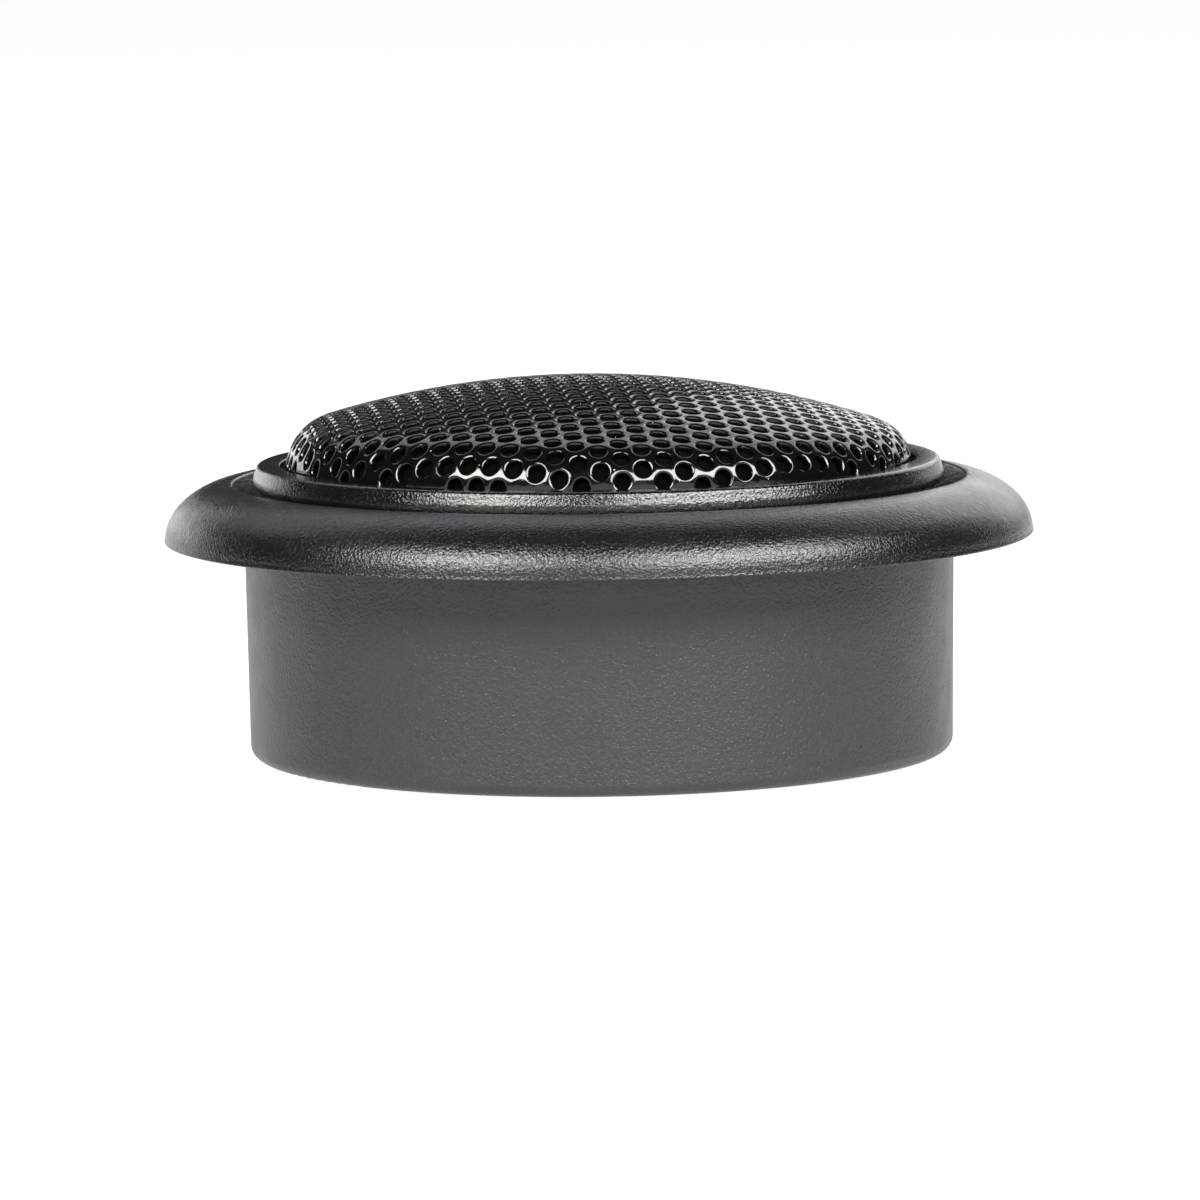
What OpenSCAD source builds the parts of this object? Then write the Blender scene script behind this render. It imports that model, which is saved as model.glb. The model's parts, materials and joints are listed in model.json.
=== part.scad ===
// Flush-mount car tweeter: a dome tweeter head that swivels inside a flanged cup.
// Origin at the middle of the cup's underside, +Z out through the grille, millimetres.

/* [Barrel] */
// Height of the barrel from its underside to the flange
barrel_h = 14.5; // [14.3:0.1:16]
// Radius of the land under the flange that fills the panel cut-out
land_r = 23.75; // [23.7:0.05:24]
// How much the barrel narrows from the land to its foot
barrel_taper = 0.25; // [0.1:0.05:0.4]
// Radius of the barrel's bore
bore_r = 22.2; // [22.2:0.05:22.4]
// Thickness of the barrel's floor
floor_t = 1.8; // [1.4:0.1:2]
// Distance between the two panel screws
screw_spacing = 24; // [20:0.5:26]

/* [Flange] */
// Outer radius of the trim ring
flange_r = 29; // [28.8:0.1:31]
// Height of the trim ring above the panel
flange_h = 3.8; // [3.6:0.1:4]
// Radius of the trim ring's inner lip
lip_r = 24.4; // [24.3:0.05:24.6]

/* [Grille and bezel] */
// Outer radius of the bezel
bezel_r = 23.05; // [22.8:0.05:23.1]
// Height of the bezel's top face above the panel
bezel_top = 5; // [4.9:0.05:5.1]
// Outer radius of the grille's skirt
grille_r = 21.1; // [20.8:0.05:21.2]
// Height of the grille above the bezel's top face
grille_rise = 5.55; // [5.2:0.05:6]
// Radius of the grille's crown
crown_r = 62; // [50:1:80]
// Radius of the grille's shoulder
shoulder_r = 4.1; // [3:0.1:4.5]
// Thickness of the grille's sheet
sheet_t = 0.5; // [0.4:0.05:0.6]
// Distance between neighbouring grille holes
hole_pitch = 1.6; // [1.4:0.05:3]
// Diameter of a grille hole
hole_d = 1.1; // [0.8:0.05:1.2]
// Turn of the hole pattern about the axis, in degrees
hole_turn = 37; // [0:1:59]
// Distance of the pattern's middle hole from the axis
hole_shift = 0.25; // [0:0.05:0.8]

/* [Swivel] */
// Depth of the tilt axis below the panel
pivot_depth = 2.7; // [2.6:0.05:2.8]
// Radius of a pivot pin
pin_r = 1.1; // [0.9:0.05:1.2]
// Radial running clearance of the swivel's pins
pin_gap = 0.05; // [0.03:0.01:0.08]

/* [Motor and dome] */
// Radius of the dome and of its coil former's outside
coil_r = 12.62; // [12.4:0.02:12.7]
// Rise of the silk dome above its edge
dome_rise = 4.2; // [3.6:0.1:4.6]
// Radial build of the voice coil's winding
winding_t = 0.3; // [0.2:0.02:0.34]

/* [Hidden] */
$fn = 96;
// Sides of the large, shallow curves, and of a small round hole
fine_fn = 300;
hole_fn = 16;
// How far a cutter passes the face that it opens
past = 1;

// Barrel
foot_edge_r = 0.8;
land_h = 1.3;
spigot_r = 23;
spigot_h = 0.7;
rib_count = 8;
rib_w = 1.2;
rib_r = 20.7;
cable_hole_r = 3.5;
screw_hole_r = 1.6;
countersink_r = 3;
countersink_h = 1;
grommet_r = 2;
grommet_lip_r = 4.6;
grommet_lip_t = 0.8;

// Trim ring: an edge arc and a flatter crown arc that meet at 45 degrees
flange_z = barrel_h;
lip_w = flange_r - lip_r;
edge_arc_r = (cos(45) * (flange_h + lip_w) - lip_w) / (2 * cos(45) - 1);
crown_arc_r = flange_h + lip_w - edge_arc_r;
recess_r = 23.85;
gasket_in_r = 25.4;
gasket_out_r = 27.6;
gasket_t = 1;

// Swivel stack, from the tilt axis outwards
pivot_z = flange_z - pivot_depth;
gimbal_in_r = 20.3;
gimbal_out_r = bore_r - 0.1;
gimbal_low_z = pivot_z - 2;
gimbal_high_z = pivot_z + 1.7;
washer_t = 0.4;
washer_in_r = 20.9;
snap_t = flange_z - gimbal_high_z - washer_t;
snap_in_r = 21;
snap_out_r = bore_r + 0.3;
snap_gap = 5;
rib_top_z = gimbal_low_z - washer_t;
pin_tip_r = gimbal_out_r - 0.2;

// Head, from the panel's plane upwards and then down to the rear
shell_in_r = 18.2;
shell_out_r = 19.6;
shell_lip_r = 21;
shell_top_z = flange_z + 3.5;
shell_low_z = flange_z - 8.9;
bezel_seat_z = shell_top_z + 0.6;
bezel_top_z = flange_z + bezel_top;
bezel_in_r = grille_r + 0.1;
bezel_ledge_r = 19.4;
bezel_edge_r = 0.4;
plate_z = flange_z + 1.1;
plate_t = 1;
plate_top_z = plate_z + plate_t;
skin_t = 0.3;
clamp_z = plate_top_z + skin_t;
cover_z = shell_low_z;
cover_t = 1;
boss_z = cover_z - 1.4;
boss_r = 13;
standoff_r = 4;

// Motor
yoke_out_r = 15.8;
yoke_in_r = 13.3;
yoke_z = flange_z - 6.1;
yoke_floor_t = 2;
magnet_r = 11.3;
pole_r = coil_r - 0.52;
pole_t = 1.6;
magnet_z = yoke_z + yoke_floor_t;
pole_z = plate_z - pole_t;
former_t = 0.12;
roll_r = 14.25;
roll_size = 1.5;
board = [14, 6, 0.8];
board_y = -9.5;
board_z = yoke_z - board[2];
terminal_x = 4;
wire_r = 0.4;
wire_z = board_z - 0.5;
wire_y = -16.1;
screw_r = 1.5;
head_r = 2.75;
head_t = 1.5;
head_seat_z = boss_z + 1.6;

// Grille: crown and shoulder arcs meet where both have the same normal
crown_z = bezel_top_z + grille_rise - crown_r;
shoulder_x = grille_r - shoulder_r;
crown_angle = asin(shoulder_x / (crown_r - shoulder_r));
shoulder_z = crown_z + (crown_r - shoulder_r) * cos(crown_angle);
holes_r = crown_r * sin(crown_angle) - hole_d / 2;
hole_rows = ceil(holes_r / (hole_pitch * cos(30)));

// A flat ring between two heights
module ring(in_r, out_r, low_z, high_z) {
  translate([0, 0, low_z]) difference() {
    cylinder(r = out_r, h = high_z - low_z);
    translate([0, 0, -past]) cylinder(r = in_r, h = high_z - low_z + 2 * past);
  }
}

// A round bar along X between two distances from the axis
module bar_x(r, from_x, to_x, z) {
  translate([from_x, 0, z]) rotate([0, 90, 0]) cylinder(r = r, h = to_x - from_x);
}

module barrel_section() {
  foot_r = land_r - barrel_taper;
  wall_r = land_r - 0.1;
  translate([foot_r - foot_edge_r, foot_edge_r]) circle(r = foot_edge_r);
  polygon([
    [0, 0], [foot_r - foot_edge_r, 0], [foot_r, foot_edge_r], [wall_r, flange_z - land_h],
    [land_r, flange_z - land_h], [land_r, flange_z], [spigot_r, flange_z],
    [spigot_r, flange_z + spigot_h], [bore_r, flange_z + spigot_h],
    [bore_r, floor_t], [0, floor_t]
  ]);
}

// Moulded cup that drops into the panel
module flush_cup() {
  color("#2f2d31") difference() {
    union() {
      rotate_extrude() barrel_section();
      for (i = [0:rib_count - 1])
        rotate([0, 0, (i + 0.5) * 360 / rib_count])
          translate([rib_r, -rib_w / 2, floor_t / 2])
            cube([bore_r - rib_r + 0.3, rib_w, rib_top_z - floor_t / 2]);
    }
    ring(bore_r - 0.3, snap_out_r, flange_z - snap_t, flange_z);
    translate([0, 0, -past]) cylinder(r = cable_hole_r, h = floor_t + 2 * past);
    for (side = [-1, 1])
      translate([side * screw_spacing / 2, 0, 0]) {
        translate([0, 0, -past]) cylinder(r = screw_hole_r, h = floor_t + 2 * past);
        translate([0, 0, floor_t - countersink_h])
          cylinder(r1 = screw_hole_r, r2 = countersink_r, h = countersink_h + 0.001);
      }
  }
}

module flange_section() {
  difference() {
    union() {
      translate([flange_r - edge_arc_r, flange_z]) circle(r = edge_arc_r);
      intersection() {
        translate([lip_r, flange_z + flange_h - crown_arc_r]) circle(r = crown_arc_r, $fn = fine_fn);
        translate([lip_r, flange_z + flange_h - crown_arc_r]) rotate(45) square(2 * crown_arc_r);
      }
      translate([spigot_r, flange_z]) square([lip_r - spigot_r + 1, flange_h / 2]);
    }
    translate([0, flange_z - 10]) square([2 * flange_r, 10]);
    polygon([
      [0, flange_z - past], [spigot_r, flange_z - past], [spigot_r, flange_z + spigot_h],
      [recess_r, flange_z + spigot_h], [lip_r, flange_z + flange_h + 0.01],
      [lip_r, flange_z + 2 * flange_h], [0, flange_z + 2 * flange_h]
    ]);
    translate([gasket_in_r, flange_z - past]) square([gasket_out_r - gasket_in_r, gasket_t + past]);
  }
}

// Rounded flange that hides the edge of the panel cut-out
module trim_ring() {
  color("#1d1c1e") rotate_extrude($fn = fine_fn) flange_section();
}

// Foam ring that seals the flange to the panel
module panel_gasket() {
  color("#3a3a3a") ring(gasket_in_r, gasket_out_r, flange_z, flange_z + gasket_t);
}

// Rubber bush where the cable leaves the cup's floor
module cable_grommet() {
  color("#141414") difference() {
    union() {
      cylinder(r = cable_hole_r, h = floor_t);
      translate([0, 0, floor_t]) cylinder(r = grommet_lip_r, h = grommet_lip_t);
    }
    translate([0, 0, -past]) cylinder(r = grommet_r, h = floor_t + grommet_lip_t + 2 * past);
  }
}

// Felt washers below and above the gimbal ring
module friction_washers() {
  color("#4a4a46") {
    ring(washer_in_r, gimbal_out_r, gimbal_low_z - washer_t, gimbal_low_z);
    ring(washer_in_r, gimbal_out_r, gimbal_high_z, gimbal_high_z + washer_t);
  }
}

// Open spring ring that holds the gimbal ring in the cup
module retaining_ring() {
  color("#8c8c8c") difference() {
    ring(snap_in_r, snap_out_r, flange_z - snap_t, flange_z);
    translate([0, -snap_gap / 2, flange_z - snap_t - past]) cube([2 * bore_r, snap_gap, snap_t + 2 * past]);
  }
}

// Ring that turns in the cup and carries the tilt axis
module gimbal_ring() {
  color("#262626") difference() {
    ring(gimbal_in_r, gimbal_out_r, gimbal_low_z, gimbal_high_z);
    bar_x(pin_r + pin_gap, -2 * bore_r, 2 * bore_r, pivot_z);
  }
}

module pivot_pins() {
  color("#b0b0b0") for (side = [0, 180])
    rotate([0, 0, side]) bar_x(pin_r, shell_in_r, pin_tip_r, pivot_z);
}

// Tubular housing of the head
module pod_shell() {
  color("#1f1f20") difference() {
    rotate_extrude() polygon([
      [shell_in_r, shell_low_z], [shell_out_r - 0.4, shell_low_z], [shell_out_r, shell_low_z + 0.4],
      [shell_out_r, shell_top_z - 1], [shell_lip_r, shell_top_z - 1], [shell_lip_r, shell_top_z],
      [shell_in_r, shell_top_z], [shell_in_r, plate_z], [shell_in_r - 1, plate_z],
      [shell_in_r - 1, plate_z - 0.7], [shell_in_r, plate_z - 1.7]
    ]);
    for (side = [0, 180])
      rotate([0, 0, side]) bar_x(pin_r, shell_in_r - past, shell_out_r + past, pivot_z);
  }
}

// Ring that frames the grille
module bezel_ring() {
  color("#232224") rotate_extrude() difference() {
    union() {
      translate([bezel_ledge_r, shell_top_z])
        square([bezel_r - bezel_ledge_r, bezel_top_z - bezel_edge_r - shell_top_z]);
      translate([bezel_ledge_r, shell_top_z])
        square([bezel_r - bezel_edge_r - bezel_ledge_r, bezel_top_z - shell_top_z]);
      translate([bezel_r - bezel_edge_r, bezel_top_z - bezel_edge_r]) circle(r = bezel_edge_r);
    }
    translate([0, bezel_seat_z]) square([bezel_in_r, bezel_top_z]);
  }
}

// Filled half-section of the grille's outside, moved inwards by inset
module dome_section(inset) {
  intersection() {
    translate([0, crown_z]) circle(r = crown_r - inset, $fn = fine_fn);
    translate([0, bezel_seat_z]) square([(crown_r - inset) * sin(crown_angle), 2 * grille_rise]);
  }
  intersection() {
    translate([shoulder_x, shoulder_z]) circle(r = shoulder_r - inset);
    translate([0, bezel_seat_z]) square([grille_r, 2 * grille_rise]);
  }
  if (shoulder_z > bezel_seat_z)
    translate([0, bezel_seat_z]) square([grille_r - inset, shoulder_z - bezel_seat_z]);
}

module dome_shell(outer_inset, inner_inset) {
  rotate_extrude() difference() {
    dome_section(outer_inset);
    translate([0, -0.001]) dome_section(inner_inset);
  }
}

// Domed steel sheet with its holes in staggered rows, each square to the sheet
module grille_mesh() {
  color("#17171a") difference() {
    dome_shell(0, sheet_t);
    for (row = [-hole_rows:hole_rows], col = [-hole_rows:hole_rows])
      let (
        along = (col + abs(row % 2) / 2) * hole_pitch,
        across = row * hole_pitch * cos(30),
        x = along * cos(hole_turn) - across * sin(hole_turn) + hole_shift,
        y = along * sin(hole_turn) + across * cos(hole_turn),
        away = norm([x, y])
      )
      if (away < holes_r)
        translate([0, 0, crown_z])
          rotate([0, asin(away / crown_r), atan2(y, x)])
            translate([0, 0, crown_r - sheet_t - past])
              cylinder(d = hole_d, h = sheet_t + 2 * past, $fn = hole_fn);
  }
}

// Thin cloth that keeps dust out behind the grille
module grille_cloth() {
  color("#0c0c0c") dome_shell(sheet_t + 0.05, sheet_t + 0.25);
}

// Flared ring that clamps the dome's surround
module clamp_ring() {
  color("#2a2a2a") rotate_extrude() polygon([
    [shell_in_r - 1.7, clamp_z], [shell_in_r, clamp_z],
    [shell_in_r, shell_top_z], [shell_in_r - 0.6, shell_top_z]
  ]);
}

// Plate that carries the motor and the dome
module front_plate() {
  color("#3c3c3c") ring(yoke_in_r + 0.2, shell_in_r, plate_z, plate_top_z);
}

module yoke_pot() {
  color("#9a9a9a") difference() {
    translate([0, 0, yoke_z]) cylinder(r = yoke_out_r, h = plate_z - yoke_z);
    translate([0, 0, magnet_z]) cylinder(r = yoke_in_r, h = plate_z);
    translate([0, 0, yoke_z - past]) cylinder(r = screw_r, h = yoke_floor_t + 2 * past);
  }
}

module magnet() {
  color("#c2c2c6") translate([0, 0, magnet_z]) cylinder(r = magnet_r, h = pole_z - magnet_z);
}

// Copper ring round the magnet, under the pole plate
module shorting_ring() {
  color("#b5713a") ring(magnet_r, pole_r, pole_z - pole_t, pole_z);
}

module pole_plate() {
  color("#a2a2a2") translate([0, 0, pole_z]) cylinder(r = pole_r, h = pole_t);
}

// Felt disc under the dome
module damping_pad() {
  color("#5a5650") translate([0, 0, plate_z]) cylinder(r = 10.5, h = 1.3);
}

module terminal_board() {
  color("#3d5a2c") translate([-board[0] / 2, board_y - board[1] / 2, board_z]) cube(board);
}

// Solder tab, told apart by its width
module terminal(side, width) {
  translate([side * terminal_x - width / 2, board_y - 0.3, cover_z + 0.2])
    cube([width, 0.6, board_z - cover_z - 0.2]);
}

module terminal_positive() {
  color("#c9a24a") terminal(1, 3.2);
}

module terminal_negative() {
  color("#c9a24a") terminal(-1, 2.2);
}

// Insulated wires from the tabs up to the edge of the surround
module coil_leads() {
  color("#6e1f1c") for (side = [-1, 1])
    translate([side * terminal_x, 0, 0]) {
      translate([0, board_y - 0.3, wire_z]) rotate([90, 0, 0])
        cylinder(r = wire_r, h = board_y - 0.3 - wire_y);
      translate([0, wire_y, wire_z]) sphere(r = wire_r);
      translate([0, wire_y, wire_z]) cylinder(r = wire_r, h = plate_z - wire_z);
    }
}

// Dished cover that closes the head at the rear
module rear_cover() {
  color("#1f1f20") difference() {
    union() {
      translate([0, 0, cover_z]) cylinder(r = shell_in_r, h = cover_t);
      translate([0, 0, boss_z]) cylinder(r = boss_r, h = cover_z - boss_z);
      translate([0, 0, boss_z]) cylinder(r = standoff_r, h = yoke_z - boss_z);
    }
    ring(standoff_r, boss_r - 1, boss_z + 1, cover_z + cover_t + past);
    translate([0, 0, boss_z - past]) cylinder(r = screw_r + 0.1, h = yoke_z);
    translate([0, 0, boss_z - past]) cylinder(r = head_r + 0.25, h = head_seat_z - boss_z + past);
    translate([0, board_y, boss_z - past]) cylinder(r = 2, h = 2 + past);
  }
}

// Pan-head screw from the rear cover into the yoke
module rear_cover_screw() {
  color("#7d7d80") difference() {
    union() {
      translate([0, 0, head_seat_z - head_t]) cylinder(r = head_r, h = head_t);
      translate([0, 0, head_seat_z]) cylinder(r = screw_r, h = magnet_z - 0.2 - head_seat_z);
    }
    for (turn = [0, 90])
      rotate([0, 0, turn]) translate([-1.5, -0.3, head_seat_z - head_t - past]) cube([3, 0.6, past + 0.8]);
  }
}

// Half-roll suspension between the dome's edge and the front plate
module surround() {
  color("#101010") rotate_extrude() {
    difference() {
      translate([roll_r, plate_top_z]) circle(r = roll_size);
      translate([roll_r, plate_top_z]) circle(r = roll_size - skin_t);
      translate([0, 0]) square([2 * roll_r, plate_top_z]);
    }
    translate([coil_r + 0.04, plate_top_z]) square([roll_r - roll_size + skin_t - coil_r - 0.04, skin_t]);
    translate([roll_r + roll_size - skin_t, plate_top_z])
      square([shell_in_r - roll_r - roll_size + skin_t, skin_t]);
  }
}

// Soft dome, a spherical cap
module silk_dome() {
  dome_r = (coil_r * coil_r + dome_rise * dome_rise) / (2 * dome_rise);
  dome_z = plate_top_z + dome_rise - dome_r;
  color("#15140f") intersection() {
    difference() {
      translate([0, 0, dome_z]) sphere(r = dome_r);
      translate([0, 0, dome_z]) sphere(r = dome_r - skin_t);
    }
    translate([0, 0, plate_top_z]) cylinder(r = 2 * coil_r, h = 2 * dome_rise);
  }
}

module coil_former() {
  color("#b98f4e") ring(coil_r - former_t, coil_r, pole_z - 0.6, plate_top_z);
}

module voice_coil() {
  color("#a8602e") ring(coil_r, coil_r + winding_t, pole_z - 0.1, plate_z + 0.1);
}

flush_cup();
trim_ring();
panel_gasket();
cable_grommet();
friction_washers();
retaining_ring();
gimbal_ring();
pivot_pins();
pod_shell();
bezel_ring();
grille_mesh();
grille_cloth();
clamp_ring();
front_plate();
yoke_pot();
magnet();
shorting_ring();
pole_plate();
damping_pad();
terminal_board();
terminal_positive();
terminal_negative();
coil_leads();
rear_cover();
rear_cover_screw();
surround();
silk_dome();
coil_former();
voice_coil();
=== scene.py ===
"""Car tweeter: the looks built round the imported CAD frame. Outlines are in millimetres, meshes in metres."""

import json
import math

import bmesh
import bpy
import numpy as np
from mathutils import Matrix, Vector


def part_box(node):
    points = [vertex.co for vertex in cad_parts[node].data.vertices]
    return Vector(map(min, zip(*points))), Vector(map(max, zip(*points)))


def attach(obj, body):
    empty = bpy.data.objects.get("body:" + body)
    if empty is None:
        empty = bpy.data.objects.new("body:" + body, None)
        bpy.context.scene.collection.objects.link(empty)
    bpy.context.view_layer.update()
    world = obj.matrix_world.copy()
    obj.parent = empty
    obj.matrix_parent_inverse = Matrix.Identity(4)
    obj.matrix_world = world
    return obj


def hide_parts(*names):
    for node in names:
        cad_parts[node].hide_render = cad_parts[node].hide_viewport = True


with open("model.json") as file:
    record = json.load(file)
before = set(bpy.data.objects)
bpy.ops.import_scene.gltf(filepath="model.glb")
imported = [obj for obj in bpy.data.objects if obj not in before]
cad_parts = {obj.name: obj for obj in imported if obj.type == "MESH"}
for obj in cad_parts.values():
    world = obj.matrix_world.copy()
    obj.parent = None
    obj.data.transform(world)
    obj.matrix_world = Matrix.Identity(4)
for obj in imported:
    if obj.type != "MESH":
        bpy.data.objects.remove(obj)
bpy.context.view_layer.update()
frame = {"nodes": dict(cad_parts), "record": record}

MM = 0.001
SEGMENTS = 288
SMOOTH_ANGLE = math.radians(32)
GASKET_WIDTH = 2.2


def low(node):
    """Lowest corner of a CAD node, in millimetres."""
    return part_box(node)[0] / MM


def high(node):
    """Highest corner of a CAD node, in millimetres."""
    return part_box(node)[1] / MM


# ---------------------------------------------------------------- camera and studio

VIEW_ELEVATION = math.radians(6.56)
VIEW_ROLL = math.radians(0.82)
VIEW_DISTANCE = 0.45
VIEW_WIDTH = 0.08027
AIM_HEIGHT = 0.01001
SENSOR = 36.0
FLOOR_RADIUS = 4.0
FLOOR_DROP = 0.0001
LIGHT_DISTANCE = 0.8
LIGHT_AIM_HEIGHT = 0.015
SOFTBOXES = (
    # name, azimuth, elevation, (width, height), radiance, colour
    ("front_left", -40, 37, (34, 21), 23.0, (1.0, 0.99, 0.94)),
    ("front_right", 39, 37, (54, 21), 21.0, (0.96, 0.99, 1.0)),
    ("front_low", 0, 8, (150, 18), 1.5, (1.0, 0.98, 1.0)),
    ("rear_top", 180, 46, (78, 24), 1.3, (0.95, 0.91, 1.0)),
    ("rear_right", 158, 18, (34, 30), 1.8, (1.0, 1.0, 1.0)),
    ("rear_left", -150, 7, (30, 13), 2.2, (1.0, 1.0, 1.0)),
)


def make_camera():
    back = Vector((0, -math.cos(VIEW_ELEVATION), math.sin(VIEW_ELEVATION)))
    right = Vector((1, 0, 0))
    up = Vector((0, math.sin(VIEW_ELEVATION), math.cos(VIEW_ELEVATION)))
    across = math.cos(VIEW_ROLL) * right - math.sin(VIEW_ROLL) * up
    upward = math.sin(VIEW_ROLL) * right + math.cos(VIEW_ROLL) * up
    place = Vector((0, 0, AIM_HEIGHT)) + VIEW_DISTANCE * back
    data = bpy.data.cameras.new("camera")
    data.sensor_width = SENSOR
    data.lens = SENSOR * VIEW_DISTANCE / VIEW_WIDTH
    data.clip_start = 0.01
    camera = bpy.data.objects.new("camera", data)
    camera.matrix_world = Matrix(
        (
            (across.x, upward.x, back.x, place.x),
            (across.y, upward.y, back.y, place.y),
            (across.z, upward.z, back.z, place.z),
            (0, 0, 0, 1),
        )
    )
    bpy.context.scene.collection.objects.link(camera)
    bpy.context.scene.camera = camera


def softbox(name, azimuth, elevation, spread, radiance, colour=(1, 1, 1)):
    """A rectangular light that faces the object. Azimuth 0 is the camera's side, 90 its right, 180 behind.
    spread is the width and height that the object sees it at, in degrees."""
    turn, rise = math.radians(azimuth), math.radians(elevation)
    away = Vector((math.sin(turn) * math.cos(rise), -math.cos(turn) * math.cos(rise), math.sin(rise)))
    size = [2 * LIGHT_DISTANCE * math.tan(math.radians(angle) / 2) for angle in spread]
    data = bpy.data.lights.new(name, "AREA")
    data.shape = "RECTANGLE"
    data.size, data.size_y = size
    data.energy = radiance * math.pi * size[0] * size[1]
    data.color = colour
    lamp = bpy.data.objects.new(name, data)
    lamp.location = Vector((0, 0, LIGHT_AIM_HEIGHT)) + LIGHT_DISTANCE * away
    lamp.rotation_euler = away.to_track_quat("Z", "Y").to_euler()
    bpy.context.scene.collection.objects.link(lamp)


def make_studio():
    """White paper behind the object for the camera, a dim fill for everything else, and the softboxes."""
    world = bpy.data.worlds.new("studio")
    bpy.context.scene.world = world
    world.use_nodes = True
    tree = world.node_tree
    tree.nodes.clear()
    out = tree.nodes.new("ShaderNodeOutputWorld")
    mix = tree.nodes.new("ShaderNodeMixShader")
    path = tree.nodes.new("ShaderNodeLightPath")
    fill = tree.nodes.new("ShaderNodeBackground")
    paper = tree.nodes.new("ShaderNodeBackground")
    fill.inputs["Color"].default_value = (0.92, 0.92, 1.0, 1)
    fill.inputs["Strength"].default_value = 0.05
    paper.inputs["Color"].default_value = (1, 1, 1, 1)
    paper.inputs["Strength"].default_value = 1.0
    tree.links.new(path.outputs["Is Camera Ray"], mix.inputs[0])
    tree.links.new(fill.outputs[0], mix.inputs[1])
    tree.links.new(paper.outputs[0], mix.inputs[2])
    tree.links.new(mix.outputs[0], out.inputs["Surface"])
    for box in SOFTBOXES:
        softbox(*box)
    bpy.context.scene.view_settings.view_transform = "Standard"


def make_floor():
    """A pale disc just under the object. It can't be seen from below, so the underside shows."""
    bm = bmesh.new()
    bmesh.ops.create_circle(bm, cap_ends=True, segments=96, radius=FLOOR_RADIUS)
    mesh = bpy.data.meshes.new("floor")
    bm.to_mesh(mesh)
    bm.free()
    floor = bpy.data.objects.new("floor", mesh)
    bpy.context.scene.collection.objects.link(floor)
    floor.location.z = -FLOOR_DROP
    mat, shader, tree = new_material("floor_paper", (0.12, 0.12, 0.12), 0.8)
    shader.inputs["Emission Color"].default_value = (1, 1, 1, 1)
    shader.inputs["Emission Strength"].default_value = 0.96
    clear = tree.nodes.new("ShaderNodeBsdfTransparent")
    mix = tree.nodes.new("ShaderNodeMixShader")
    side = tree.nodes.new("ShaderNodeNewGeometry")
    tree.links.new(side.outputs["Backfacing"], mix.inputs[0])
    tree.links.new(shader.outputs[0], mix.inputs[1])
    tree.links.new(clear.outputs[0], mix.inputs[2])
    tree.links.new(mix.outputs[0], tree.nodes["Material Output"].inputs["Surface"])
    mesh.materials.append(mat)


# ---------------------------------------------------------------- materials


def new_material(name, colour, roughness, metallic=0.0, specular=0.5):
    mat = bpy.data.materials.new(name)
    mat.use_nodes = True
    tree = mat.node_tree
    shader = tree.nodes["Principled BSDF"]
    shader.inputs["Base Color"].default_value = (*colour, 1)
    shader.inputs["Roughness"].default_value = roughness
    shader.inputs["Metallic"].default_value = metallic
    shader.inputs["Specular IOR Level"].default_value = specular
    return mat, shader, tree


def place_node(tree):
    return tree.nodes.new("ShaderNodeTexCoord").outputs["Object"]


def noise(tree, place, scale, detail=2.0, roughness=0.5, distortion=0.0):
    node = tree.nodes.new("ShaderNodeTexNoise")
    node.inputs["Scale"].default_value = scale
    node.inputs["Detail"].default_value = detail
    node.inputs["Roughness"].default_value = roughness
    node.inputs["Distortion"].default_value = distortion
    tree.links.new(place, node.inputs["Vector"])
    return node.outputs["Fac"]


def voronoi(tree, place, scale, smooth=0.0):
    """Distance to the middle of the nearest cell, with the cells' edges rounded off if smooth is given."""
    node = tree.nodes.new("ShaderNodeTexVoronoi")
    node.inputs["Scale"].default_value = scale
    if smooth:
        node.feature = "SMOOTH_F1"
        node.inputs["Smoothness"].default_value = smooth
    tree.links.new(place, node.inputs["Vector"])
    return node.outputs["Distance"]


def remap(tree, value, low_in, high_in, low_out, high_out):
    node = tree.nodes.new("ShaderNodeMapRange")
    node.inputs["From Min"].default_value = low_in
    node.inputs["From Max"].default_value = high_in
    node.inputs["To Min"].default_value = low_out
    node.inputs["To Max"].default_value = high_out
    tree.links.new(value, node.inputs["Value"])
    return node.outputs["Result"]


def blend_colour(tree, factor, first, second):
    node = tree.nodes.new("ShaderNodeMix")
    node.data_type = "RGBA"
    tree.links.new(factor, node.inputs["Factor"])
    node.inputs["A"].default_value = (*first, 1)
    node.inputs["B"].default_value = (*second, 1)
    return node.outputs["Result"]


def arithmetic(tree, operation, first, second):
    node = tree.nodes.new("ShaderNodeMath")
    node.operation = operation
    for socket, value in zip(node.inputs, (first, second)):
        if isinstance(value, (int, float)):
            socket.default_value = value
        else:
            tree.links.new(value, socket)
    return node.outputs[0]


def add_bump(tree, shader, height, depth, strength=1.0):
    """Bump of the given depth in metres."""
    node = tree.nodes.new("ShaderNodeBump")
    node.inputs["Strength"].default_value = strength
    node.inputs["Distance"].default_value = depth
    tree.links.new(height, node.inputs["Height"])
    tree.links.new(node.outputs["Normal"], shader.inputs["Normal"])


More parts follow.
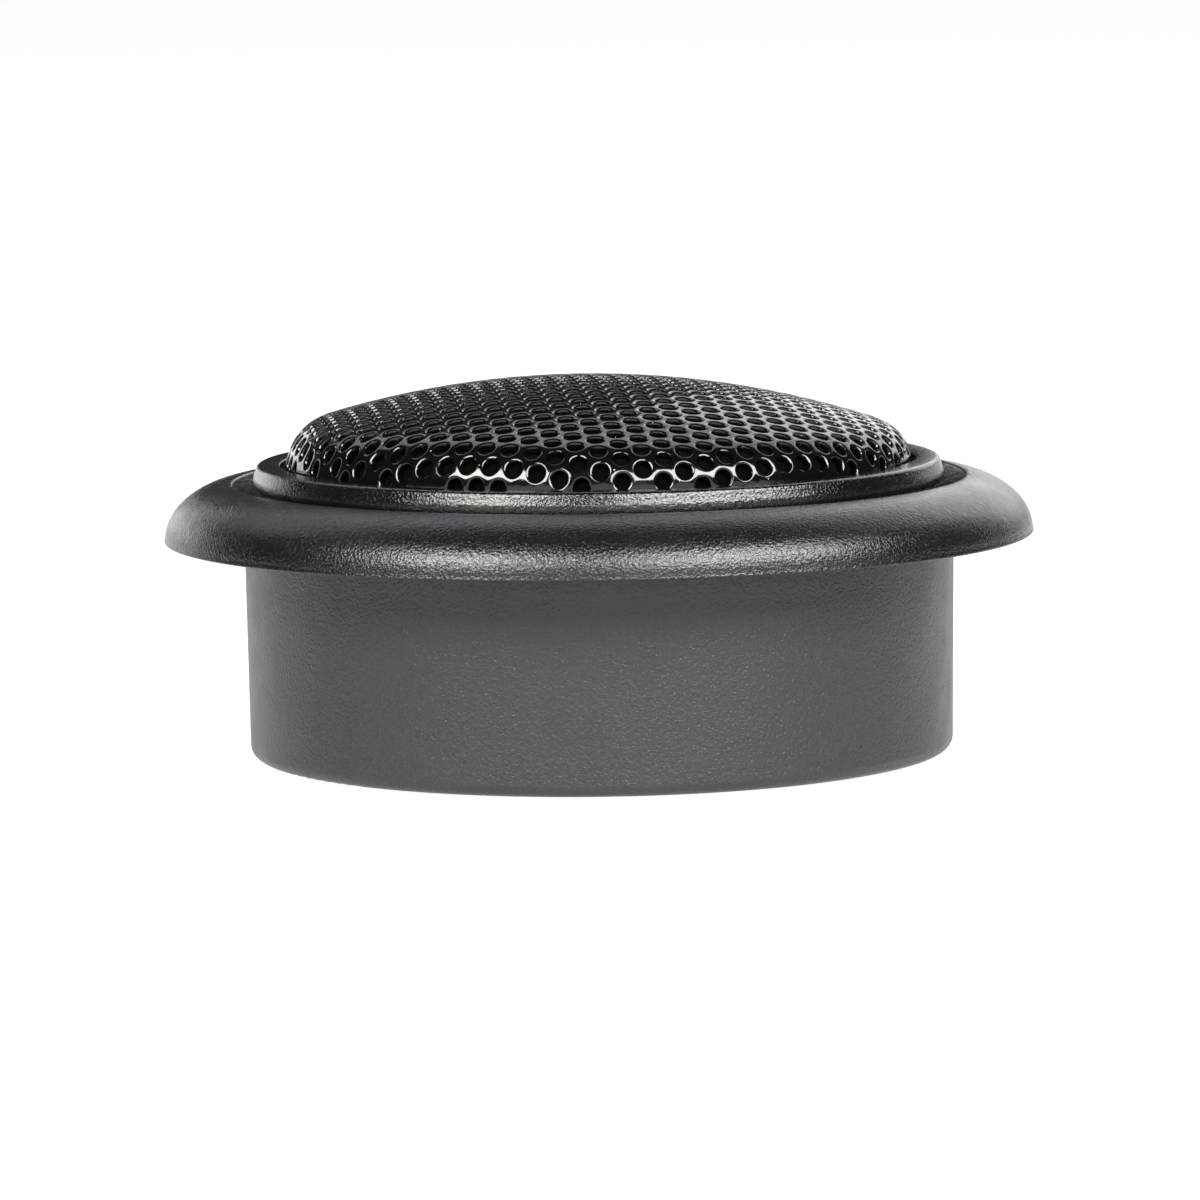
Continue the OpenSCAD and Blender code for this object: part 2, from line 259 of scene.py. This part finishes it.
def grained_plastic(name, dark, light, roughness, grain, depth, specular=0.5):
    """Moulded plastic with a leather grain. grain is the size of a pebble in metres and depth its height."""
    mat, shader, tree = new_material(name, dark, roughness, specular=specular)
    place = place_node(tree)
    pebbles = voronoi(tree, place, 1 / grain, 0.4)
    wrinkles = noise(tree, place, 1.25 / grain, 1.5, 0.5, 1.2)
    height = arithmetic(tree, "ADD", pebbles, arithmetic(tree, "MULTIPLY", wrinkles, 1.5))
    add_bump(tree, shader, height, depth)
    cloud = noise(tree, place, 90, 4.0, 0.55)
    fleck = remap(tree, wrinkles, 0.35, 0.65, 0.0, 1.0)
    shade = arithmetic(tree, "MULTIPLY", arithmetic(tree, "ADD", cloud, fleck), 0.5)
    tree.links.new(blend_colour(tree, shade, dark, light), shader.inputs["Base Color"])
    patch = remap(tree, noise(tree, place, 260, 3.0, 0.6), 0.3, 0.7, roughness - 0.04, roughness + 0.05)
    tree.links.new(patch, shader.inputs["Roughness"])
    return mat


def gloss_paint(name):
    """Thick gloss powder coat, with a faint orange peel and a few specks of dust."""
    black, dust = (0.0012, 0.0012, 0.0014), (0.45, 0.42, 0.38)
    mat, shader, tree = new_material(name, black, 0.1)
    place = place_node(tree)
    peel = noise(tree, place, 2200, 2.0, 0.5)
    add_bump(tree, shader, peel, 6e-6, 0.6)
    specks = remap(tree, noise(tree, place, 3800, 1.0, 0.4), 0.79, 0.81, 0.0, 1.0)
    tree.links.new(blend_colour(tree, specks, black, dust), shader.inputs["Base Color"])
    haze = noise(tree, place, 400, 3.0, 0.6)
    tree.links.new(remap(tree, haze, 0.3, 0.75, 0.07, 0.15), shader.inputs["Roughness"])
    return mat


def woven_cloth(name, dark, light, thread, specular=0.1, sheen=0.1):
    mat, shader, tree = new_material(name, dark, 0.95, specular=specular)
    place = place_node(tree)
    heights = []
    for axis in ("X", "Y"):
        wave = tree.nodes.new("ShaderNodeTexWave")
        wave.bands_direction = axis
        wave.inputs["Scale"].default_value = 0.314 / thread
        tree.links.new(place, wave.inputs["Vector"])
        heights.append(wave.outputs["Fac"])
    weave = arithmetic(tree, "MULTIPLY", heights[0], heights[1])
    add_bump(tree, shader, weave, thread * 0.3)
    tree.links.new(blend_colour(tree, weave, dark, light), shader.inputs["Base Color"])
    shader.inputs["Sheen Weight"].default_value = sheen
    return mat


def felted(name, dark, light, fibre):
    mat, shader, tree = new_material(name, dark, 0.95, specular=0.1)
    place = place_node(tree)
    fibres = noise(tree, place, 1 / fibre, 5.0, 0.7, 2.5)
    add_bump(tree, shader, fibres, fibre)
    tree.links.new(blend_colour(tree, fibres, dark, light), shader.inputs["Base Color"])
    shader.inputs["Sheen Weight"].default_value = 0.3
    return mat


def cellular_foam(name, dark, light, cell):
    mat, shader, tree = new_material(name, dark, 0.85, specular=0.2)
    place = place_node(tree)
    cells = voronoi(tree, place, 1 / cell)
    add_bump(tree, shader, cells, cell * 0.6)
    tree.links.new(blend_colour(tree, cells, dark, light), shader.inputs["Base Color"])
    return mat


def metal(name, dark, light, roughness, grain, depth):
    mat, shader, tree = new_material(name, dark, roughness, metallic=1.0)
    place = place_node(tree)
    marks = noise(tree, place, 1 / grain, 4.0, 0.6, 0.4)
    add_bump(tree, shader, marks, depth)
    tree.links.new(blend_colour(tree, marks, dark, light), shader.inputs["Base Color"])
    worn = remap(tree, marks, 0.3, 0.7, roughness - 0.08, roughness + 0.1)
    tree.links.new(worn, shader.inputs["Roughness"])
    return mat


def satin_rubber(name, dark, light, roughness):
    mat, shader, tree = new_material(name, dark, roughness, specular=0.4)
    place = place_node(tree)
    skin = noise(tree, place, 3000, 3.0, 0.6)
    add_bump(tree, shader, skin, 1.5e-5)
    cloud = noise(tree, place, 200, 3.0)
    tree.links.new(blend_colour(tree, cloud, dark, light), shader.inputs["Base Color"])
    return mat


def circuit_board(name):
    dark, light = (0.01, 0.05, 0.015), (0.02, 0.11, 0.03)
    mat, shader, tree = new_material(name, dark, 0.35)
    weave = noise(tree, place_node(tree), 1500, 2.0)
    add_bump(tree, shader, weave, 2e-5)
    tree.links.new(blend_colour(tree, weave, dark, light), shader.inputs["Base Color"])
    return mat


BLACK = (0.0008, 0.0008, 0.0009)
CHARCOAL = (0.005, 0.0045, 0.0056)
# maker, slot, then the maker's own values: dark and light colour, roughness, size of the detail, its depth
FINISHES = (
    (grained_plastic, "cup_plastic", CHARCOAL, (0.017, 0.0155, 0.0185), 0.38, 2.3e-4, 2.6e-5, 0.6),
    (grained_plastic, "flange_plastic", BLACK, (0.005, 0.0048, 0.0052), 0.23, 2.0e-4, 2.1e-5),
    (grained_plastic, "bezel_plastic", BLACK, (0.004, 0.0038, 0.0042), 0.14, 1.9e-4, 1.6e-5),
    (grained_plastic, "housing_plastic", (0.012, 0.012, 0.012), (0.02, 0.02, 0.02), 0.5, 1.2e-4, 1.0e-5),
    (gloss_paint, "grille_paint"),
    (woven_cloth, "cloth", (0.0006, 0.0006, 0.0006), (0.0024, 0.0022, 0.0021), 1.1e-4, 0.02, 0.01),
    (woven_cloth, "silk", (0.004, 0.004, 0.0035), (0.012, 0.011, 0.010), 1.2e-4),
    (felted, "felt", (0.10, 0.095, 0.08), (0.20, 0.19, 0.17), 1.5e-4),
    (cellular_foam, "gasket_foam", (0.012, 0.012, 0.012), (0.04, 0.04, 0.04), 3.0e-4),
    (satin_rubber, "black_rubber", (0.010, 0.010, 0.010), (0.02, 0.02, 0.02), 0.6),
    (satin_rubber, "wire_red", (0.18, 0.010, 0.008), (0.26, 0.02, 0.015), 0.35),
    (metal, "spring_steel", (0.20, 0.20, 0.21), (0.34, 0.34, 0.35), 0.38, 4.0e-4, 4.0e-6),
    (metal, "pin_steel", (0.45, 0.45, 0.46), (0.6, 0.6, 0.61), 0.25, 3.0e-4, 3.0e-6),
    (metal, "motor_steel", (0.40, 0.41, 0.43), (0.55, 0.55, 0.57), 0.3, 5.0e-4, 4.0e-6),
    (metal, "plate_aluminium", (0.10, 0.10, 0.11), (0.16, 0.16, 0.17), 0.4, 3.0e-4, 4.0e-6),
    (metal, "magnet_nickel", (0.60, 0.58, 0.54), (0.72, 0.70, 0.66), 0.14, 6.0e-4, 2.0e-6),
    (metal, "copper", (0.60, 0.27, 0.14), (0.78, 0.40, 0.24), 0.28, 3.0e-4, 3.0e-6),
    (metal, "tab_brass", (0.60, 0.45, 0.20), (0.74, 0.60, 0.32), 0.3, 3.0e-4, 3.0e-6),
    (metal, "former_foil", (0.50, 0.38, 0.20), (0.62, 0.50, 0.30), 0.3, 3.0e-4, 2.0e-6),
    (circuit_board, "board_green"),
)
MATERIALS = {slot: make(slot, *values) for make, slot, *values in FINISHES}


# ---------------------------------------------------------------- mesh helpers


def add_piece(name, mesh, body, slot, *nodes):
    """Links a finished mesh as a piece that rides on a body and stands for the CAD nodes."""
    mesh.materials.clear()
    mesh.materials.append(MATERIALS[slot])
    mesh.shade_smooth()
    mesh.set_sharp_from_angle(angle=SMOOTH_ANGLE)
    piece = bpy.data.objects.new(name, mesh)
    bpy.context.scene.collection.objects.link(piece)
    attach(piece, body)
    if nodes:
        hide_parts(*nodes)
    return piece


def arc(centre, radius, start, end, count):
    """Points along an arc in the (r, z) plane, from start to end in degrees."""
    angles = np.radians(np.linspace(start, end, count))
    return [(centre[0] + radius * math.cos(a), centre[1] + radius * math.sin(a)) for a in angles]


def lathe(name, outline, segments=SEGMENTS):
    """Turns an outline of (r, z) points in millimetres into a closed mesh. A point at r = 0 is a pole."""
    bm = bmesh.new()
    angles = [2 * math.pi * k / segments for k in range(segments)]
    rings = []
    for r, z in outline:
        steps = angles if r > 0 else [0]
        rings.append([bm.verts.new((r * MM * math.cos(a), r * MM * math.sin(a), z * MM)) for a in steps])
    open_ended = len(rings[0]) == 1 and len(rings[-1]) == 1
    pairs = zip(rings, rings[1:] + ([] if open_ended else rings[:1]))
    for first, second in pairs:
        for k in range(segments):
            n = (k + 1) % segments
            corners = [ring[i % len(ring)] for ring, i in ((first, k), (first, n), (second, n), (second, k))]
            face = list(dict.fromkeys(corners))
            if len(face) > 2:
                bm.faces.new(face)
    bmesh.ops.recalc_face_normals(bm, faces=bm.faces)
    mesh = bpy.data.meshes.new(name)
    bm.to_mesh(mesh)
    bm.free()
    return mesh


# ---------------------------------------------------------------- flange and bezel


def flange_outline():
    """Half-section of the trim ring: a small edge radius, an edge arc, a flatter crown arc and the lip.
    The edge arc and the crown arc meet without a kink at 45 degrees."""
    base = low("trim_ring").z
    rise = high("trim_ring").z - base
    outer = -low("trim_ring").x
    lip = 24.4
    nick = 0.09
    flare = 0.035
    width = outer - flare - lip
    half = math.cos(math.radians(45))
    edge_arc = (half * (rise + width) - width) / (2 * half - 1)
    crown_arc = rise + width - edge_arc
    lip_round = 0.16
    spigot = 23.0
    recess = 23.85
    step = base + 0.7
    gasket_high = high("panel_gasket").z
    gasket_out = high("panel_gasket").x
    gasket_in = gasket_out - GASKET_WIDTH
    points = arc((outer - nick, base + nick), nick, -90, 15, 6)
    points += arc((outer - flare - edge_arc, base), edge_arc, 4, 45, 16)
    points += arc((lip, base + rise - crown_arc), crown_arc, 46, 87, 18)
    points += arc((lip + lip_round, base + rise - lip_round - 0.01), lip_round, 95, 175, 6)
    points += [(recess + 0.1, step + 0.3), (recess, step + 0.1), (recess - 0.1, step)]
    points += [(spigot, step), (spigot, base)]
    points += [(gasket_in, base), (gasket_in, gasket_high), (gasket_out, gasket_high), (gasket_out, base)]
    return points


def make_flange():
    mesh = lathe("flange", flange_outline())
    add_piece("flange", mesh, "cup", "flange_plastic", "trim_ring")


def make_bezel():
    """Turned ring: a short straight foot, a wall drafted inwards, a rounded top and the ledge inside."""
    outer = high("bezel_ring").x
    bottom = low("bezel_ring").z
    top = high("bezel_ring").z
    ledge = 19.4
    inner = 21.2
    seat = bottom + 0.6
    chamfer = 0.1
    foot = 0.3
    edge = 0.32
    set_in = 0.22
    draft = 19
    wall_foot, wall_top = 0.55, 0.15
    lip = 0.12
    corner = outer - set_in - edge
    points = [(ledge, bottom), (outer - chamfer, bottom), (outer, bottom + chamfer), (outer, bottom + foot)]
    for below in np.linspace(wall_foot, wall_top, 5):
        points.append((corner + edge + below * math.tan(math.radians(draft)), top - edge - below))
    points += arc((corner, top - edge), edge, draft, 90, 9)
    points += arc((inner + lip, top - lip), lip, 90, 180, 5)
    points += [(inner, seat), (ledge, seat)]
    mesh = lathe("bezel", points)
    add_piece("bezel", mesh, "pod", "bezel_plastic", "bezel_ring")


# ---------------------------------------------------------------- grille and cloth

# The dome: a crown arc, a shoulder arc and a straight skirt. The gaps keep it inside the CAD grille's height
CROWN_R = 62.0
SHOULDER_R = 3.2
SKIRT_R = 20.85
SHEET = 0.5
TOP_GAP = 0.03
SEAT_GAP = 0.02
# The holes: pitch, radius, and the radius and steps (in degrees) of the rolled rim
PITCH = 1.61
HOLE_R = 0.55
RIM = 0.17
RIM_STEPS = (0, 20, 50, 90)
HOLE_GAP = 0.08
PATTERN_TURN = math.radians(-22.8)
PATTERN_SHIFT = (0.27, 0.0)
# How much the pressing stretches the sheet at 20 mm from its middle, and how it leans
DRAW = 0.011
LEAN = math.radians(1.06)
LEAN_SHIFT = 0.12
LEAN_FADE = 5.0
# Points round a cell. WELD and CUT, in metres: how close two points are one, or a point is on the cut
SIDES = 24
NEIGHBOURS = [(k, (k + 1) % SIDES) for k in range(SIDES)]
WELD = 2e-6
CUT = 1e-7
# The cloth: its gap behind the sheet and its thickness
CLOTH_GAP = 0.05
CLOTH = 0.2


def dome_curve(along, inset=0.0):
    """Radius and height of the grille's skin at a distance along its profile from the top, in mm."""
    crown_z = high("grille_mesh").z - TOP_GAP - CROWN_R
    shoulder_x = SKIRT_R - SHOULDER_R
    meet = math.asin(shoulder_x / (CROWN_R - SHOULDER_R))
    shoulder_z = crown_z + (CROWN_R - SHOULDER_R) * math.cos(meet)
    crown_length = CROWN_R * meet
    on_crown = along < crown_length
    tilt = np.where(on_crown, along / CROWN_R, meet + (along - crown_length) / SHOULDER_R)
    tilt = np.minimum(tilt, math.pi / 2)
    radius = np.where(on_crown, CROWN_R, SHOULDER_R) - inset
    r = np.where(on_crown, 0, shoulder_x) + radius * np.sin(tilt)
    z = np.where(on_crown, crown_z, shoulder_z) + radius * np.cos(tilt)
    straight = crown_length + SHOULDER_R * (math.pi / 2 - meet)
    return r, z - np.maximum(along - straight, 0)


def seat_height():
    """Height at which the skirt ends, just above the bezel's seat, in mm."""
    return low("grille_mesh").z + SEAT_GAP


def dome_length():
    """Length of the profile from the top down to the skirt's end, in mm."""
    samples = np.linspace(0, 30, 6001)
    heights = dome_curve(samples)[1]
    return float(samples[np.argmax(heights < seat_height())])


def pressed(flat):
    """Distance along the profile of a point, from its distance to the middle of the flat sheet."""
    return flat * (1 + DRAW * (flat / 20) ** 2)


def lean(points, along, length):
    """Leans the pressing a little to the right. The lean fades out towards the seat."""
    fade = np.clip((length - along) / LEAN_FADE, 0, 1)
    fade = fade * fade * (3 - 2 * fade)
    x = points[:, 0].copy()
    points[:, 0] += LEAN_SHIFT * fade
    points[:, 2] -= x * math.sin(LEAN) * fade
    return points


def directions(count):
    """Unit steps that many ways round, starting along a row of holes."""
    angles = PATTERN_TURN + 2 * math.pi * np.arange(count) / count
    return np.stack([np.cos(angles), np.sin(angles)], 1)


def hexagon_edge():
    """Points round a cell's hexagonal edge, measured from its middle."""
    off = (360.0 * np.arange(SIDES) / SIDES + 30.0) % 60.0 - 30.0
    return (PITCH / 2 / np.cos(np.radians(off)))[:, None] * directions(SIDES)


def cell_middles(edge, length):
    """Middles of the hexagonal cells, laid out flat, that lie within the skirt's end or reach it."""
    first, second = directions(6)[:2]
    reach = math.ceil(length / (PITCH * math.cos(math.radians(30)))) + 1
    for i in range(-reach, reach + 1):
        for j in range(-reach, reach + 1):
            middle = np.array(PATTERN_SHIFT) + PITCH * (i * first + j * second)
            if np.linalg.norm(middle + edge, axis=1).min() <= length:
                yield middle


def pierced_cell(middle, edge, start):
    """Points, depths and faces from the hexagon on top, over the rolled rim and down the hole's wall."""
    spokes = directions(SIDES)
    layers = [(edge, 0.0)]
    for a in np.radians(RIM_STEPS):
        layers.append(((HOLE_R + RIM * (1 - math.sin(a))) * spokes, RIM * (1 - math.cos(a))))
    layers += [(HOLE_R * spokes, SHEET), (edge, SHEET)]
    points = np.concatenate([middle + offsets for offsets, _ in layers])
    depths = np.repeat([deep for _, deep in layers], SIDES)
    faces = []
    for ring in range(start, start + SIDES * (len(layers) - 1), SIDES):
        faces += [(ring + k, ring + n, ring + SIDES + n, ring + SIDES + k) for k, n in NEIGHBOURS]
    return points, depths, faces


def blank_cell(middle, edge, start):
    """Points, depths and faces of a cell with no hole: one fan on top and one below."""
    points = np.concatenate([middle + edge, middle + edge, [middle, middle]])
    depths = np.array([0.0] * SIDES + [SHEET] * SIDES + [0.0, SHEET])
    hub = start + 2 * SIDES
    faces = []
    for k, n in NEIGHBOURS:
        faces += [(start + k, start + n, hub), (start + SIDES + n, start + SIDES + k, hub + 1)]
    return points, depths, faces


def flat_sheet(length):
    """The pierced sheet before it is pressed: points in its plane, their depths below its top, and faces."""
    edge = hexagon_edge()
    last_hole = length - HOLE_R - RIM - HOLE_GAP
    points, depths, faces = [], [], []
    count = 0
    for middle in cell_middles(edge, length):
        make_cell = pierced_cell if pressed(np.linalg.norm(middle)) < last_hole else blank_cell
        cell_points, cell_depths, cell_faces = make_cell(middle, edge, count)
        points.append(cell_points)
        depths.append(cell_depths)
        faces += cell_faces
        count += len(cell_points)
    return np.concatenate(points), np.concatenate(depths), faces


def cut_skirt(mesh):
    """Welds the cells together, cuts the sheet off level at the bezel's seat and closes the cut edge."""
    bm = bmesh.new()
    bm.from_mesh(mesh)
    bmesh.ops.remove_doubles(bm, verts=bm.verts, dist=WELD)
    bmesh.ops.bisect_plane(
        bm,
        geom=bm.verts[:] + bm.edges[:] + bm.faces[:],
        dist=CUT,
        plane_co=(0, 0, seat_height() * MM),
        plane_no=(0, 0, 1),
        clear_inner=True,
    )
    cut = sorted((v for v in bm.verts if v.is_boundary), key=lambda v: math.atan2(v.co.y, v.co.x))
    half = (SKIRT_R - SHEET / 2) * MM
    outer = [v for v in cut if v.co.xy.length > half]
    inner = [v for v in cut if v.co.xy.length < half]
    for k in range(len(outer)):
        bm.faces.new((outer[k - 1], outer[k], inner[k], inner[k - 1]))
    bmesh.ops.recalc_face_normals(bm, faces=bm.faces)
    bm.to_mesh(mesh)
    bm.free()


def make_grille():
    length = dome_length()
    flat, depth, faces = flat_sheet(length)
    along = pressed(np.linalg.norm(flat, axis=1))
    heading = np.arctan2(flat[:, 1], flat[:, 0])
    r, z = dome_curve(along, depth)
    points = lean(np.stack([r * np.cos(heading), r * np.sin(heading), z], 1), along, length)
    mesh = bpy.data.meshes.new("grille")
    mesh.from_pydata((points * MM).tolist(), [], faces)
    cut_skirt(mesh)
    add_piece("grille", mesh, "pod", "grille_paint", "grille_mesh")


def make_cloth():
    length = dome_length()
    crown_end = 17
    along = np.concatenate([np.linspace(0, crown_end, 18), np.linspace(crown_end + 0.5, length, 14)])
    outline = []
    for inset, order in ((SHEET + CLOTH_GAP, 1), (SHEET + CLOTH_GAP + CLOTH, -1)):
        r, z = dome_curve(along[::order], inset)
        outline += list(zip(r, z))
    outline[0] = (0.0, outline[0][1])
    outline[-1] = (0.0, outline[-1][1])
    mesh = lathe("grille_backing", outline, 144)
    piece = add_piece("grille_backing", mesh, "pod", "cloth", "grille_cloth")


# ---------------------------------------------------------------- pieces inside


def make_gasket():
    bottom, top = low("panel_gasket").z, high("panel_gasket").z
    outer = high("panel_gasket").x
    inner = outer - GASKET_WIDTH
    soft = 0.22
    points = arc((inner + soft, bottom + soft), soft, 180, 270, 6)
    points += arc((outer - soft, bottom + soft), soft, 270, 360, 6)
    points += [(outer, top), (inner, top)]
    mesh = lathe("foam_gasket", points, 192)
    piece = add_piece("foam_gasket", mesh, "cup", "gasket_foam", "panel_gasket")


def make_dome():
    """Silk dome: a thin spherical cap, cut off level where it meets the former."""
    edge_z = low("silk_dome").z
    rise = high("silk_dome").z - edge_z
    edge_r = high("silk_dome").x
    skin = 0.3
    radius = (edge_r ** 2 + rise ** 2) / (2 * rise)
    centre = (0.0, edge_z + rise - radius)
    opening = math.degrees(math.asin(edge_r / radius))
    inside = math.degrees(math.acos((edge_z - centre[1]) / (radius - skin)))
    points = arc(centre, radius, 90, 90 - opening, 28)
    points += arc(centre, radius - skin, 90 - inside, 90, 28)
    points[0] = (0.0, points[0][1])
    points[-1] = (0.0, points[-1][1])
    mesh = lathe("dome_cap", points, 144)
    add_piece("dome_cap", mesh, "dome", "silk", "silk_dome")


def make_surround():
    """Half-roll between the dome's edge and the plate, with a flat flange on each side."""
    base = low("surround").z
    outer = high("surround").x
    size = high("surround").z - base
    skin = 0.3
    middle = 14.25
    glue_gap = 0.04
    inner = high("silk_dome").x + glue_gap
    points = [(inner, base), (middle - size + skin, base)]
    points += arc((middle, base), size - skin, 180, 0, 22)
    points += [(outer, base), (outer, base + skin), (middle + size - 0.1, base + skin)]
    points += arc((middle, base), size, 14, 166, 22)
    points += [(middle - size + 0.05, base + skin), (inner, base + skin)]
    mesh = lathe("surround_roll", points, 144)
    add_piece("surround_roll", mesh, "pod", "silk", "surround")


def make_damping_pad():
    bottom, top = low("damping_pad").z, high("damping_pad").z
    outer = high("damping_pad").x
    soft = 0.4
    points = [(0.0, bottom), (outer - 0.15, bottom)]
    points += arc((outer - soft, top - soft), soft, 0, 90, 7)
    points += [(outer * 0.5, top - 0.03), (0.0, top)]
    mesh = lathe("felt_pad", points, 96)
    piece = add_piece("felt_pad", mesh, "pod", "felt", "damping_pad")


def finish_cad_nodes():
    """Gives every CAD node that still shows the material of its slot."""
    slots = {part["node"]: part["material_slot"] for part in frame["record"]["subparts"]}
    for node, piece in frame["nodes"].items():
        piece.data.materials.clear()
        piece.data.materials.append(MATERIALS[slots[node]])


make_camera()
make_studio()
make_floor()
finish_cad_nodes()
make_flange()
make_bezel()
make_grille()
make_cloth()
make_gasket()
make_dome()
make_surround()
make_damping_pad()
